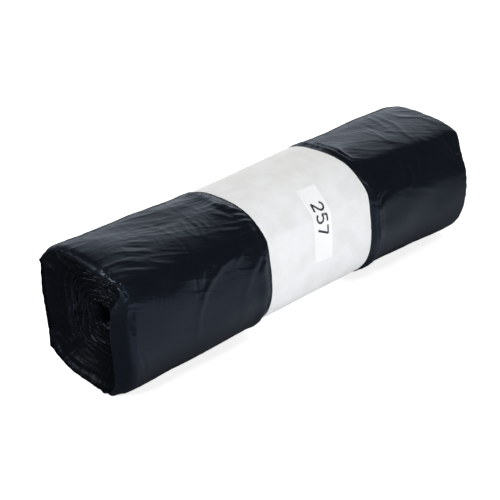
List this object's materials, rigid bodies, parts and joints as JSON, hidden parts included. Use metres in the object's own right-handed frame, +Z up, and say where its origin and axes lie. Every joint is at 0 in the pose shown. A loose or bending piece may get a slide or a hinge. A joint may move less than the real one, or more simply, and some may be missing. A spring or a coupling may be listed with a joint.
{
  "type": "bin bag roll",
  "caption": "Coreless roll of thin dark polythene bin bags, squarish in section, held round its middle by a paper band with a small label.",
  "frame": {"origin": "on the surface the roll lies on, under the middle of its bounding box", "axes": "+X along the roll, +Z up, -Y towards the side that carries the label"},
  "size_m": [0.255, 0.0742, 0.0715],
  "materials": {
    "film": "thin blue-black polythene film with a soft gloss and many fine wrinkles",
    "band_paper": "plain off-white wrapping paper, faintly mottled",
    "label_paper": "smooth white self-adhesive label paper"
  },
  "bodies": {
    "root": {"bag_roll": "film", "paper_band": "band_paper", "label": "label_paper"}
  },
  "joints": []
}
